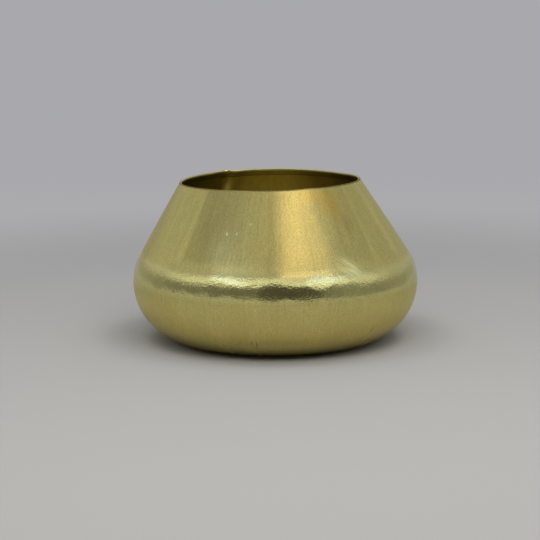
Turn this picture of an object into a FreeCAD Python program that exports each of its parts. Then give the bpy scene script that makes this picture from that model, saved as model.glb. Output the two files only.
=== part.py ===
import FreeCAD, Part
import math
import os
import Sketcher

# A squat brass cachepot, made of two pieces of sheet. The lower bowl is pressed: a flat base, a
# quarter round up to the belly, and a shoulder that turns in. The upper wall is a strip rolled into
# a cone, with its top edge folded inward as a hem. Filler joins them: a bead round the shoulder, a
# bead up the cone's own seam, and a blob that bridges the ends of the hem at the rim.
# The frame: Z is up, the origin is the middle of the base on the floor, and -Y is the front.
# Lengths are millimetres and angles are degrees.

SIZES = (
    ("belly_radius", 142, "outer radius at the widest place"),
    ("base_radius", 83, "radius of the flat base, where the quarter round starts"),
    ("overall_height", 160, "from the floor to the top of the rolled rim"),
    ("mouth_radius", 87.6, "clear radius inside the rim"),
    ("shoulder_radius", 51, "outer radius of the bend between belly and cone"),
    ("sheet", 0.9, "thickness of the brass sheet"),
    ("hem_depth", 6, "how far the folded edge reaches down inside"),
    ("hem_gap", 0.4, "space between the folded edge and the wall"),
    ("joint_gap", 0.6, "gap between two sheet edges, which the filler fills"),
    ("bead_rise", 0.5, "how far the filler stands proud of the wall inside"),
    ("blob_width", 3, "width of the blob on the rim"),
    ("blob_rise", 0.35, "how far the blob stands over the rim"),
    ("seam_bearing", 120, "where the cone's seam is, in degrees from +X towards +Y"),
)

FULL_TURN = 360
HALF_TURN = 180
QUARTER_TURN = 90

# The positions on a sketch's line or arc that a constraint can name, and the sketch's own origin
START, END, CENTRE = range(1, 4)
ORIGIN = -START

# What the sizes give, as formulas that the sketches and features are bound to
CURVE = "(sizes.belly_radius - sizes.base_radius)"
SHOULDER_X = "(sizes.belly_radius - sizes.shoulder_radius)"
BEND = "(sizes.sheet + sizes.hem_gap / 2)"
BEND_X = f"(sizes.mouth_radius + {BEND})"
BEND_Z = f"(sizes.overall_height - {BEND})"
RUN = f"({BEND_X} - {SHOULDER_X})"
RISE = f"({BEND_Z} - {CURVE})"
SLOPE = f"(atan2({RISE}; {RUN}) - acos((sizes.shoulder_radius - {BEND}) / hypot({RUN}; {RISE})))"
EDGE_ANGLE = f"({SLOPE} - (sizes.joint_gap / 2 / sizes.shoulder_radius) * 180 deg / pi)"
GAP_TURN = "(sizes.joint_gap / ((sizes.belly_radius + sizes.mouth_radius) / 2) * 180 / pi)"
HALF_GAP = "sizes.joint_gap / 2"
FILLER_DEPTH = "sizes.sheet + sizes.bead_rise"
AT_SEAM = "sizes.seam_bearing"
FACING_SEAM = "sizes.seam_bearing - 180"


def write_sizes(doc):
    """Puts the sizes in a sheet, each under its own name, and returns them as numbers too."""
    sheet = doc.addObject("Spreadsheet::Sheet", "sizes")
    values = {}
    for row, (name, value, meaning) in enumerate(SIZES, start=1):
        sheet.set(f"A{row}", name)
        sheet.set(f"B{row}", str(value))
        sheet.set(f"C{row}", meaning)
        sheet.setAlias(f"B{row}", name)
        values[name] = float(value)
    doc.recompute()
    return values


class Section:
    """Half a section through the pot: the places, worked out from the sizes, where a sketch starts."""

    def __init__(self, size):
        self.size = size
        self.curve = size["belly_radius"] - size["base_radius"]
        self.bend = size["sheet"] + size["hem_gap"] / 2
        self.low_centre = self.at(size["base_radius"], self.curve)
        self.shoulder_centre = self.at(size["belly_radius"] - size["shoulder_radius"], self.curve)
        self.bend_centre = self.at(
            size["mouth_radius"] + self.bend, size["overall_height"] - self.bend
        )
        reach = self.bend_centre - self.shoulder_centre
        lean = math.acos((size["shoulder_radius"] - self.bend) / reach.Length)
        self.slope = math.atan2(reach.y, reach.x) - lean
        self.edge_angle = self.slope - size["joint_gap"] / 2 / size["shoulder_radius"]
        self.out = self.direction(self.slope)
        self.up = self.direction(self.slope + math.radians(QUARTER_TURN))
        self.touch = self.shoulder_centre + self.out * size["shoulder_radius"]

    @staticmethod
    def at(radius, height):
        return FreeCAD.Vector(radius, height, 0)

    @staticmethod
    def direction(angle):
        return FreeCAD.Vector(math.cos(angle), math.sin(angle), 0)

    def wall(self, depth, along):
        """A place depth inside the cone's outer face, and along it from where it leaves the shoulder."""
        return self.touch - self.out * depth + self.up * along

    def rim(self, outward, down):
        """A place beside the middle of the rim's bend."""
        return self.bend_centre + self.out * outward - self.up * down


def start_sketch(body, name):
    """An empty sketch on the upright plane of its own body: across is the radius, up is the height."""
    sketch = body.newObject("Sketcher::SketchObject", name)
    plane = [item for item in body.Origin.OriginFeatures if item.Role == "XZ_Plane"][0]
    sketch.AttachmentSupport = [(plane, "")]
    sketch.MapMode = "FlatFace"
    return sketch


def line(sketch, start, end, construction=False):
    return sketch.addGeometry(Part.LineSegment(start, end), construction)


def arc(sketch, centre, radius, first, last):
    circle = Part.Circle(centre, FreeCAD.Vector(0, 0, 1), radius)
    return sketch.addGeometry(Part.ArcOfCircle(circle, first, last), False)


def relate(sketch, *rules):
    for rule in rules:
        sketch.addConstraint(Sketcher.Constraint(*rule))


def measure(sketch, kind, places, value, name, formula):
    """A dimension with a name of its own, bound to a formula of the sheet's sizes."""
    index = sketch.addConstraint(Sketcher.Constraint(kind, *places, value))
    sketch.renameConstraint(index, name)
    sketch.setExpression(f"Constraints.{name}", formula)


def draw_loop(sketch, corners):
    """A closed loop of lines from corner to corner, each joined to the next."""
    sides = []
    for index, corner in enumerate(corners):
        sides.append(line(sketch, corner, corners[(index + 1) % len(corners)]))
    for index, side in enumerate(sides):
        following = sides[(index + 1) % len(sides)]
        relate(sketch, ("Coincident", side, END, following, START))
    return sides


def place_shoulder_spoke(sketch, section):
    """A construction line from the shoulder's centre to where the cone's outer face leaves it."""
    spoke = line(sketch, section.shoulder_centre, section.touch, construction=True)
    centre = section.shoulder_centre
    measure(sketch, "DistanceX", (ORIGIN, START, spoke, START), centre.x, "centre_x", SHOULDER_X)
    measure(sketch, "DistanceY", (ORIGIN, START, spoke, START), centre.y, "centre_z", CURVE)
    radius = section.size["shoulder_radius"]
    measure(sketch, "Distance", (spoke,), radius, "shoulder", "sizes.shoulder_radius")
    measure(sketch, "Angle", (spoke,), section.slope, "slope", SLOPE)
    return spoke


def place_rim_spoke(sketch, section):
    """A construction line from the middle of the rim's bend to the cone's outer face."""
    middle = section.bend_centre
    spoke = line(sketch, middle, section.rim(section.bend, 0), construction=True)
    measure(sketch, "DistanceX", (ORIGIN, START, spoke, START), middle.x, "bend_x", BEND_X)
    measure(sketch, "DistanceY", (ORIGIN, START, spoke, START), middle.y, "bend_z", BEND_Z)
    measure(sketch, "Distance", (spoke,), section.bend, "bend", BEND)
    measure(sketch, "Angle", (spoke,), section.slope, "rim_slope", SLOPE)
    return spoke


def revolve(body, sketch, name, angle, formula=None):
    """Turns a sketch about the pot's axis, evenly to both sides of the sketch's own plane."""
    feature = body.newObject("PartDesign::Revolution", name)
    feature.Profile = sketch
    feature.ReferenceAxis = (sketch, ["V_Axis"])
    feature.Midplane = True
    feature.Angle = angle
    if formula:
        feature.setExpression("Angle", formula)
    sketch.Visibility = False
    return feature


def turn(body, bearing, formula):
    """Turns a body about the pot's axis, so that its seam lies where the cone's seam is."""
    upright = FreeCAD.Vector(0, 0, 1)
    body.Placement = FreeCAD.Placement(FreeCAD.Vector(), FreeCAD.Rotation(upright, bearing))
    body.setExpression("Placement.Rotation.Angle", formula)


def gap_turn(size):
    """The turn that the cone's open seam takes, in degrees, with its gap measured half way up."""
    return math.degrees(size["joint_gap"] / ((size["belly_radius"] + size["mouth_radius"]) / 2))


def make_lower_bowl(doc, section):
    """Pressed sheet: the flat base, the quarter round, the belly and the shoulder that turns in."""
    size = section.size
    sheet = size["sheet"]
    low = section.low_centre
    high = section.shoulder_centre
    body = doc.addObject("PartDesign::Body", "lower_bowl")
    sketch = start_sketch(body, "bowl_section")
    down = math.radians(FULL_TURN - QUARTER_TURN)
    level = math.radians(FULL_TURN)
    edge = section.direction(section.edge_angle)
    outer = size["shoulder_radius"]
    under = line(sketch, section.at(0, 0), section.at(size["base_radius"], 0))
    round_out = arc(sketch, low, section.curve, down, level)
    shoulder_out = arc(sketch, high, outer, 0, section.edge_angle)
    lip = line(sketch, high + edge * outer, high + edge * (outer - sheet))
    shoulder_in = arc(sketch, high, outer - sheet, 0, section.edge_angle)
    round_in = arc(sketch, low, section.curve - sheet, down, level)
    floor = line(sketch, section.at(size["base_radius"], sheet), section.at(0, sheet))
    axis = line(sketch, section.at(0, sheet), section.at(0, 0))
    relate(
        sketch,
        ("Coincident", under, START, ORIGIN, START),
        ("Horizontal", under),
        ("Tangent", under, END, round_out, START),
        ("Tangent", round_out, END, shoulder_out, START),
        ("Coincident", shoulder_out, END, lip, START),
        ("Coincident", lip, END, shoulder_in, END),
        ("Tangent", shoulder_in, START, round_in, END),
        ("Tangent", round_in, START, floor, START),
        ("Coincident", floor, END, axis, START),
        ("Coincident", axis, END, under, START),
        ("Coincident", round_in, CENTRE, round_out, CENTRE),
        ("Coincident", shoulder_in, CENTRE, shoulder_out, CENTRE),
        ("Horizontal", round_out, CENTRE, shoulder_out, CENTRE),
        ("PointOnObject", shoulder_out, CENTRE, lip),
        ("Horizontal", floor),
        ("Vertical", axis),
    )
    measure(sketch, "Distance", (under,), size["base_radius"], "base", "sizes.base_radius")
    measure(sketch, "Radius", (round_out,), section.curve, "curve", CURVE)
    measure(sketch, "Radius", (shoulder_out,), outer, "shoulder", "sizes.shoulder_radius")
    measure(sketch, "Distance", (axis,), sheet, "floor_sheet", "sizes.sheet")
    inward = section.edge_angle - math.radians(HALF_TURN)
    measure(sketch, "Angle", (lip,), inward, "lip_angle", f"{EDGE_ANGLE} - 180 deg")
    revolve(body, sketch, "pressed_shape", FULL_TURN)
    turn(body, size["seam_bearing"] - HALF_TURN, FACING_SEAM)
    return body


def make_upper_cone(doc, section):
    """Rolled sheet with its top edge folded inward. Its ends leave a gap, so it is an open ring."""
    size = section.size
    sheet = size["sheet"]
    bend = section.bend
    half_gap = size["joint_gap"] / 2
    half_space = size["hem_gap"] / 2
    middle = section.bend_centre
    body = doc.addObject("PartDesign::Body", "upper_cone")
    sketch = start_sketch(body, "cone_section")
    over = section.slope + math.radians(HALF_TURN)
    face = line(sketch, section.wall(0, half_gap), section.rim(bend, 0))
    fold_out = arc(sketch, middle, bend, section.slope, over)
    hem = line(sketch, section.rim(-bend, 0), section.rim(-bend, size["hem_depth"]))
    hem_end = line(
        sketch, section.rim(-bend, size["hem_depth"]), section.rim(-half_space, size["hem_depth"])
    )
    hem_back = line(sketch, section.rim(-half_space, size["hem_depth"]), section.rim(-half_space, 0))
    fold_in = arc(sketch, middle, half_space, section.slope, over)
    inside = line(sketch, section.rim(half_space, 0), section.wall(sheet, half_gap))
    foot = line(sketch, section.wall(sheet, half_gap), section.wall(0, half_gap))
    spoke = place_shoulder_spoke(sketch, section)
    relate(
        sketch,
        ("Tangent", face, END, fold_out, START),
        ("Tangent", fold_out, END, hem, START),
        ("Coincident", hem, END, hem_end, START),
        ("Perpendicular", hem_end, hem),
        ("Coincident", hem_end, END, hem_back, START),
        ("Tangent", hem_back, END, fold_in, END),
        ("Tangent", fold_in, START, inside, START),
        ("Coincident", inside, END, foot, START),
        ("Coincident", foot, END, face, START),
        ("Perpendicular", foot, face),
        ("Coincident", fold_in, CENTRE, fold_out, CENTRE),
        ("Perpendicular", spoke, face),
        ("Parallel", hem, face),
        ("Parallel", hem_back, face),
        ("Parallel", inside, face),
    )
    measure(sketch, "DistanceX", (ORIGIN, START, fold_out, CENTRE), middle.x, "bend_x", BEND_X)
    measure(sketch, "DistanceY", (ORIGIN, START, fold_out, CENTRE), middle.y, "bend_z", BEND_Z)
    measure(sketch, "Radius", (fold_out,), bend, "bend", BEND)
    measure(sketch, "Radius", (fold_in,), half_space, "hem_space", "sizes.hem_gap / 2")
    measure(sketch, "Distance", (hem,), size["hem_depth"], "hem_depth", "sizes.hem_depth")
    measure(sketch, "Distance", (spoke, END, face, START), half_gap, "foot_gap", HALF_GAP)
    revolve(body, sketch, "rolled_shape", FULL_TURN - gap_turn(size), f"360 - {GAP_TURN}")
    turn(body, size["seam_bearing"] - HALF_TURN, FACING_SEAM)
    return body


def make_girth_weld(doc, section):
    """Filler all round the shoulder, between the two edges: ground flush outside, crowned inside."""
    size = section.size
    sheet = size["sheet"]
    half_gap = size["joint_gap"] / 2
    high = section.shoulder_centre
    outer = size["shoulder_radius"]
    edge = section.direction(section.edge_angle)
    body = doc.addObject("PartDesign::Body", "girth_weld")
    sketch = start_sketch(body, "weld_section")
    corners = (
        high + edge * outer,
        section.wall(0, half_gap),
        section.wall(sheet, half_gap),
        section.wall(sheet + size["bead_rise"], 0),
        high + edge * (outer - sheet),
    )
    ground, cone_side, cone_flank, bowl_flank, bowl_side = draw_loop(sketch, corners)
    spoke = place_shoulder_spoke(sketch, section)
    lift = line(sketch, section.touch, section.wall(0, half_gap), construction=True)
    relate(
        sketch,
        ("Coincident", lift, START, spoke, END),
        ("Coincident", lift, END, cone_side, START),
        ("Perpendicular", lift, spoke),
        ("Parallel", cone_side, spoke),
        ("PointOnObject", spoke, START, bowl_side),
        ("PointOnObject", cone_flank, END, spoke),
    )
    depth = sheet + size["bead_rise"]
    measure(sketch, "Distance", (lift,), half_gap, "gap", HALF_GAP)
    measure(sketch, "Distance", (cone_side,), sheet, "cone_edge", "sizes.sheet")
    measure(sketch, "Distance", (bowl_side,), sheet, "bowl_edge", "sizes.sheet")
    measure(sketch, "Distance", (spoke, START, ground, START), outer, "outer", "sizes.shoulder_radius")
    measure(sketch, "Distance", (cone_flank, END, lift), depth, "crown", FILLER_DEPTH)
    measure(sketch, "Angle", (bowl_side,), section.edge_angle, "edge_angle", EDGE_ANGLE)
    revolve(body, sketch, "bead_ring", FULL_TURN)
    turn(body, size["seam_bearing"] - HALF_TURN, FACING_SEAM)
    return body


def make_seam_weld(doc, section):
    """Filler up the cone's own seam, between the rolled ends. It stands a little proud inside."""
    size = section.size
    half_gap = size["joint_gap"] / 2
    depth = size["sheet"] + size["bead_rise"]
    hem = size["hem_depth"]
    body = doc.addObject("PartDesign::Body", "seam_weld")
    sketch = start_sketch(body, "filling_section")
    corners = (
        section.wall(0, half_gap),
        section.wall(depth, half_gap),
        section.rim(section.bend - depth, hem),
        section.rim(section.bend, hem),
    )
    foot, inside, head, face = draw_loop(sketch, corners)
    spoke = place_shoulder_spoke(sketch, section)
    rim_spoke = place_rim_spoke(sketch, section)
    relate(
        sketch,
        ("Perpendicular", foot, face),
        ("Perpendicular", head, face),
        ("Perpendicular", spoke, face),
        ("PointOnObject", spoke, END, face),
    )
    measure(sketch, "Distance", (foot,), depth, "foot_depth", FILLER_DEPTH)
    measure(sketch, "Distance", (head,), depth, "head_depth", FILLER_DEPTH)
    measure(sketch, "Distance", (spoke, END, foot, START), half_gap, "gap", HALF_GAP)
    measure(sketch, "Distance", (rim_spoke, END, head, END), hem, "hem", "sizes.hem_depth")
    revolve(body, sketch, "gap_filling", gap_turn(size), GAP_TURN)
    turn(body, size["seam_bearing"], AT_SEAM)
    return body


def make_rim_blob(doc, section):
    """Braze at the rim: it fills the open end of the hem and stands a little over the bend."""
    size = section.size
    bend = section.bend
    depth = size["hem_depth"]
    rise = size["blob_rise"]
    over = section.slope + math.radians(HALF_TURN)
    body = doc.addObject("PartDesign::Body", "rim_blob")
    sketch = start_sketch(body, "plug_section")
    face = line(sketch, section.rim(bend, depth), section.rim(bend, 0))
    fold = arc(sketch, section.bend_centre, bend, section.slope, over)
    hem = line(sketch, section.rim(-bend, 0), section.rim(-bend, depth))
    under = line(sketch, section.rim(-bend, depth), section.rim(bend, depth))
    spoke = place_rim_spoke(sketch, section)
    relate(
        sketch,
        ("Tangent", face, END, fold, START),
        ("Tangent", fold, END, hem, START),
        ("Coincident", hem, END, under, START),
        ("Coincident", under, END, face, START),
        ("Perpendicular", under, face),
        ("Parallel", hem, face),
        ("Coincident", fold, CENTRE, spoke, START),
        ("Coincident", fold, START, spoke, END),
    )
    measure(sketch, "Distance", (face,), depth, "hem", "sizes.hem_depth")
    revolve(body, sketch, "plug", gap_turn(size), GAP_TURN)
    doc.recompute()

    sketch = start_sketch(body, "cap_section")
    middle = section.bend_centre
    low = arc(sketch, middle, bend, section.slope, over)
    high = arc(sketch, middle, bend + rise, section.slope, over)
    outside = line(sketch, section.rim(bend, 0), section.rim(bend + rise, 0))
    within = line(sketch, section.rim(-bend, 0), section.rim(-bend - rise, 0))
    spoke = place_rim_spoke(sketch, section)
    relate(
        sketch,
        ("Coincident", low, CENTRE, spoke, START),
        ("Coincident", high, CENTRE, spoke, START),
        ("Coincident", low, START, spoke, END),
        ("Coincident", outside, START, low, START),
        ("Coincident", outside, END, high, START),
        ("Coincident", within, START, low, END),
        ("Coincident", within, END, high, END),
        ("Parallel", outside, spoke),
        ("Parallel", within, spoke),
        ("PointOnObject", low, END, spoke),
    )
    measure(sketch, "Distance", (outside,), rise, "rise", "sizes.blob_rise")
    wide = math.degrees(size["blob_width"] / middle.x)
    revolve(body, sketch, "cap", wide, f"sizes.blob_width / {BEND_X} * 180 / pi")
    turn(body, size["seam_bearing"], AT_SEAM)
    return body


def check(doc, bodies):
    """Stops if an object failed, a sketch can still move, or a piece isn't one valid solid."""
    for item in doc.Objects:
        if "Invalid" in item.State or "Error" in item.State:
            raise RuntimeError(f"{item.Label} failed: {item.State}")
        if item.TypeId == "Sketcher::SketchObject" and not item.FullyConstrained:
            raise RuntimeError(f"{item.Label} isn't fully constrained")
    for body in bodies:
        shape = body.Shape
        if shape.isNull() or not shape.isValid() or len(shape.Solids) != 1:
            raise RuntimeError(f"{body.Label} isn't one valid solid")
        print(body.Label, "volume", round(shape.Volume, 1))


def main():
    doc = FreeCAD.newDocument("cachepot")
    section = Section(write_sizes(doc))
    bodies = (
        make_lower_bowl(doc, section),
        make_upper_cone(doc, section),
        make_girth_weld(doc, section),
        make_seam_weld(doc, section),
        make_rim_blob(doc, section),
    )
    doc.recompute()
    check(doc, bodies)
    os.makedirs("parts", exist_ok=True)
    for body in bodies:
        body.Shape.exportStep(f"parts/{body.Label}.step")


main()
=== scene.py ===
"""A round brass cachepot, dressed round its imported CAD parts: hand-finished sheet, filler and studio.

The frame: Z is up, the origin is the middle of the base on the floor, and -Y is the front.
Lengths are metres. A bearing is an angle about Z, from +X towards +Y.
"""

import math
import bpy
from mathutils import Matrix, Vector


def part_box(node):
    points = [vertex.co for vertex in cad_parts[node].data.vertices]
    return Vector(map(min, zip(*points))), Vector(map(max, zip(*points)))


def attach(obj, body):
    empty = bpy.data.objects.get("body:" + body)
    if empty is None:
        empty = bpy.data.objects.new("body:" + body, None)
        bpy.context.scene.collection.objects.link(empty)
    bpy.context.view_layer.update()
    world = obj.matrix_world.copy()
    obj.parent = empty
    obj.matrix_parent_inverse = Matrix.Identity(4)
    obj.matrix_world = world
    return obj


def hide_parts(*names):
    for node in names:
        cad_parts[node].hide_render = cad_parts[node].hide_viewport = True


bl_info = {
    "name": "Brass cachepot",
    "version": (1, 0, 0),
    "blender": (4, 5, 0),
    "location": "View3D > Sidebar > Cachepot",
    "description": "Builds a hand-finished brass cachepot and the studio that it stands in",
    "category": "Object",
}

import bmesh
import bpy
from mathutils import Matrix, Vector, noise

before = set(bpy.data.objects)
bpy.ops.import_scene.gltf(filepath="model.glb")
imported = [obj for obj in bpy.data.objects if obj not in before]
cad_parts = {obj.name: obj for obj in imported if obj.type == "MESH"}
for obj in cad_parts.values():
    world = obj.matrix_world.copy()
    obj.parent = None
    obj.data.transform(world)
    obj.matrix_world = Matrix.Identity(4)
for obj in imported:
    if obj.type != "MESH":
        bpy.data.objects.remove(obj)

MM = 0.001
TURN = 2 * math.pi
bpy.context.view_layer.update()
BOWL_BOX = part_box("lower_bowl")
CONE_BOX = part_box("upper_cone")


def to_mm(length):
    """A length of the frame, rounded to the tenth of a millimetre that it was drawn to."""
    return round(length / MM, 1) * MM


def colour(code):
    """A linear colour from its sRGB hex value."""
    levels = [int(code[start : start + 2], 16) / 255 for start in (1, 3, 5)]
    linear = [v / 12.92 if v <= 0.04045 else ((v + 0.055) / 1.055) ** 2.4 for v in levels]
    return (*linear, 1.0)


def length(name, description, default):
    return bpy.props.FloatProperty(
        name=name, description=description, default=default, min=0, unit="LENGTH", subtype="DISTANCE"
    )


def angle(name, description, degrees):
    return bpy.props.FloatProperty(
        name=name, description=description, default=math.radians(degrees), subtype="ANGLE"
    )


def tint(name, description, code):
    return bpy.props.FloatVectorProperty(
        name=name, description=description, default=colour(code), size=4, min=0, max=1, subtype="COLOR"
    )


class CachepotSizes(bpy.types.PropertyGroup):
    """The drawn shape, as the CAD parts have it."""

    belly_radius: length("Belly radius", "Outer radius at the widest place", to_mm(BOWL_BOX[1].x))
    base_radius: length("Base radius", "Radius of the flat base", 83 * MM)
    overall_height: length("Height", "From the floor to the top of the rim", to_mm(CONE_BOX[1].z))
    mouth_radius: length("Mouth radius", "Clear radius inside the rim", 87.6 * MM)
    shoulder_radius: length("Shoulder radius", "Bend between belly and cone", 51 * MM)
    sheet: length("Sheet", "Thickness of the brass", 0.9 * MM)
    hem_depth: length("Hem depth", "How far the folded edge reaches down inside", 6 * MM)
    hem_gap: length("Hem gap", "Space between the folded edge and the wall", 0.4 * MM)
    joint_gap: length("Joint gap", "Gap between two sheet edges", 0.6 * MM)
    bead_rise: length("Bead rise", "How far the filler stands proud inside", 0.5 * MM)
    bead_width: length("Bead width", "How wide the filler spreads inside", 3.2 * MM)
    seam_width: length("Seam width", "How wide the seam's filler ran out inside", 8 * MM)
    blob_width: length("Blob width", "Width of the braze on the rim", 8.5 * MM)
    blob_rise: length("Blob rise", "How far the braze stands over the rim", 0.45 * MM)
    seam_bearing: angle("Seam bearing", "Where the cone's own seam is", 120)


class CachepotHandwork(bpy.types.PropertyGroup):
    """What rolling, brazing and hammering left on this pot."""

    rim_lean: length("Rim lean", "How far the rim's middle is off the axis, to the left", 4.87 * MM)
    rim_tilt: angle("Rim tilt", "How far the rim's left side is down", 0.67)
    hammer_pitch: length("Hammer pitch", "Distance between planishing marks", 24 * MM)
    hammer_depth: length("Hammer depth", "Depth of a planishing mark", 0.42 * MM)
    wave_length: length("Wave length", "Distance between the slow waves of the sheet", 45 * MM)
    wave_height: length("Wave height", "Height of the slow waves", 0.2 * MM)
    seam_peak: length("Seam peak", "How far the rolled ends stand out at the seam", 0.5 * MM)


class CachepotFinish(bpy.types.PropertyGroup):
    """The colours of the metal, as sRGB values that a matt card would have."""

    brushed: tint("Brushed brass", "Wire-brushed sheet, cooler passes", "#D2CB82")
    brushed_warm: tint("Brushed brass, warm", "Wire-brushed sheet, warmer passes", "#DAC97A")
    # Also paints the warm reflection on the cone and the warm sheen low on the bowl
    copper: tint("Heat tint", "Where the torch drew the copper out", "#D8B254")
    # A pale warm gold that paints highlights: along the seam inside and on the rim at the front right
    painted_sheen: tint("Flux crust", "What the flux left beside the seam", "#E6C05C")
    worn: tint("Worn brass", "Bright metal in a fresh scratch or scuff", "#EFF0AE")
    fresh: tint("Fresh nick", "Where a knock bared the metal", "#F6F4BC")
    grime: tint("Grime", "Dirt in an old scratch, and dull olive stains", "#8A7C48")
    tarnish: tint("Tarnish", "Sheet that was never brushed, inside", "#BDAE66")
    tarnish_dark: tint("Dark tarnish", "Deeper tarnish in the corners inside", "#9C8C52")
    # Dirt in the scratches, and also the painted shade under the hem's edge and under the blob inside
    stain_and_shade: tint("Stain", "What the fold holds and drips onto the wall under it", "#5A4A22")
    edge: tint("Folded edge", "The rim, which the fold left smooth", "#C2C085")
    filler_laid: tint("Filler, as laid", "Brazing filler that nobody ground", "#A3945A")
    filler: tint("Filler", "Brazing filler, paler than the sheet", "#DCCF8C")
    paper_near: tint("Paper, near", "Studio paper in front", "#B4B3AF")
    paper_far: tint("Paper, far", "Studio paper and backdrop behind", "#A9A9AD")


class CachepotStudio(bpy.types.PropertyGroup):
    """The camera and the lamps."""

    lens: bpy.props.FloatProperty(
        name="Lens", description="Focal length on a 36 mm sensor, in mm", default=120, unit="CAMERA"
    )
    distance: length("Distance", "From the camera to the pot", 1.8)
    pitch: angle("Pitch", "How far the camera looks down", 9.55)
    roll: angle("Roll", "How far the camera is turned about its own axis", -0.31)


class Section:
    """Half a section through the pot, as places (radius, height)."""

    def __init__(self, size):
        self.size = size
        self.curve = size.belly_radius - size.base_radius
        self.bend = size.sheet + size.hem_gap / 2
        self.low_centre = Vector((size.base_radius, self.curve))
        self.shoulder_centre = Vector((size.belly_radius - size.shoulder_radius, self.curve))
        self.bend_centre = Vector((size.mouth_radius + self.bend, size.overall_height - self.bend))
        reach = self.bend_centre - self.shoulder_centre
        lean = math.acos((size.shoulder_radius - self.bend) / reach.length)
        self.slope = math.atan2(reach.y, reach.x) - lean
        self.edge_angle = self.slope - size.joint_gap / 2 / size.shoulder_radius
        self.out = direction(self.slope)
        self.up = direction(self.slope + TURN / 4)
        self.touch = self.shoulder_centre + self.out * size.shoulder_radius
        self.wall_length = (self.bend_centre - self.touch).dot(self.up)
        self.gap_turn = size.joint_gap / ((size.belly_radius + size.mouth_radius) / 2)

    def outer_radius(self, height):
        """The radius of the outer face at a height."""
        if height > self.touch.y:
            return self.touch.x + (height - self.touch.y) * self.up.x / self.up.y
        if height > self.curve:
            centre, radius = self.shoulder_centre, self.size.shoulder_radius
        else:
            centre, radius = self.low_centre, self.curve
        return centre.x + math.sqrt(max(0, radius**2 - (height - centre.y) ** 2))


def direction(turned):
    return Vector((math.cos(turned), math.sin(turned)))


class Station:
    """One ring of a turned shape: its place, how deep under the outer face, and the finish above it."""

    def __init__(self, place, outward, depth, finish):
        self.place = place
        self.outward = outward
        self.depth = depth
        self.finish = finish


def steps(span, pitch):
    """Even shares from 0 to 1 along a span, no further apart than pitch."""
    count = max(1, math.ceil(abs(span) / pitch))
    return [index / count for index in range(count + 1)]


def along_arc(centre, radius, first, last, depth, finish, pitch):
    """Stations along an arc of the sheet. depth is 0 on its outer face."""
    made = []
    for part in steps((last - first) * radius, pitch):
        way = direction(first + (last - first) * part)
        made.append(Station(centre + way * (radius - depth), way, depth, finish))
    return made


def along_base(first, last, depth, finish, pitch):
    """Stations along the flat base, from one radius to another."""
    down = Vector((0, -1))
    made = []
    for part in steps(last - first, pitch):
        radius = first + (last - first) * part
        made.append(Station(Vector((radius, depth)), down, depth, finish))
    return made


def along_wall(section, depth, low, high, finish, pitch):
    """Stations along the cone's wall, from one distance above the shoulder to another."""
    made = []
    for part in steps(high - low, pitch):
        up = low + (high - low) * part
        place = section.touch - section.out * depth + section.up * up
        made.append(Station(place, section.out, depth, finish))
    return made


def round_bend(section, radius, first, last, finish, count):
    """Stations round the rim's fold, which are placed by their depth under the wall's outer face."""
    made = []
    for index in range(count + 1):
        turned = section.slope + first + (last - first) * index / count
        place = section.bend_centre + direction(turned) * radius
        depth = (section.touch - place).dot(section.out)
        made.append(Station(place, section.out, depth, finish))
    return made


def fade(value, low, high):
    """0 below low and 1 above high, with a smooth rise between."""
    part = min(1.0, max(0.0, (value - low) / (high - low)))
    return part * part * (3 - 2 * part)


def apart(bearing, other):
    """The angle between two bearings, from -180 to 180 degrees, in radians."""
    return (bearing - other + TURN / 2) % TURN - TURN / 2


# The rim isn't flat: each entry is a bearing in degrees, a width in degrees and a rise in mm
RIM_RISES = (
    (-38, 17, 0.3), (-66, 7, 0.4), (38, 20, -1.1), (124, 6, 0.6), (114, 5, -0.4), (180, 45, -1.1),
)

# Heights between which the floor stops to hold the sheet flat, the hammering starts and ends, and
# the cone starts
OFF_THE_FLOOR = (5 * MM, 22 * MM)
HAMMER_STARTS = (56 * MM, 65 * MM)
HAMMER_ENDS = (79 * MM, 96 * MM)
CONE_STARTS = (88 * MM, 100 * MM)

# How far from the seam the rolled ends stand out
SEAM_SPREAD = 7 * MM

# How softly the cone's lean starts at the shoulder, as a share of its height
SOFT_START = 0.06

# Faces that meet at more than this look sharp
SHARP = math.radians(40)


def pressed(hand, section, place, bearing):
    """How far handwork moved the outer face of the sheet outward at a place."""
    height = place.z
    nearest = noise.voronoi(place / hand.hammer_pitch)[0][0]
    worked = fade(height, *HAMMER_STARTS) * (1 - fade(height, *HAMMER_ENDS))
    # Metal that a blow drives in stands proud between the blows, so the face keeps its mean place
    hammered = hand.hammer_depth * (min(1.0, nearest * nearest * 2) - 0.6) * worked
    slow = noise.noise(place / hand.wave_length) * hand.wave_height
    # The quicker waves are a third as long and high, and read the noise at another place
    quick = noise.noise(place / (hand.wave_length / 3) + Vector((7, 3, 5))) * hand.wave_height * 0.35
    off_seam = apart(bearing, section.size.seam_bearing) * place.xy.length
    peak = hand.seam_peak * math.exp(-((off_seam / SEAM_SPREAD) ** 2)) * fade(height, *CONE_STARTS)
    return (slow + quick) * fade(height, *OFF_THE_FLOOR) + hammered + peak


def as_made(hand, section, station, bearing):
    """Where a station of the drawn section ends up on this pot, at a bearing."""
    around = Vector((math.cos(bearing), math.sin(bearing), 0))
    upright = Vector((0, 0, 1))
    outward = around * station.outward.x + upright * station.outward.y
    drawn = around * station.place.x + upright * station.place.y
    face = drawn + outward * station.depth
    made = drawn + outward * pressed(hand, section, face, bearing)
    rise = (face.z - section.touch.y) / (section.size.overall_height - section.touch.y)
    share_up = (rise + math.hypot(rise, SOFT_START)) / 2
    made.x -= hand.rim_lean * share_up
    made.z += drawn.x * math.tan(hand.rim_tilt) * share_up
    for degrees, wide, lift in RIM_RISES:
        off = math.degrees(apart(bearing, math.radians(degrees))) / wide
        made.z += lift * MM * math.exp(-off * off) * share_up**3
    return made


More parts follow.
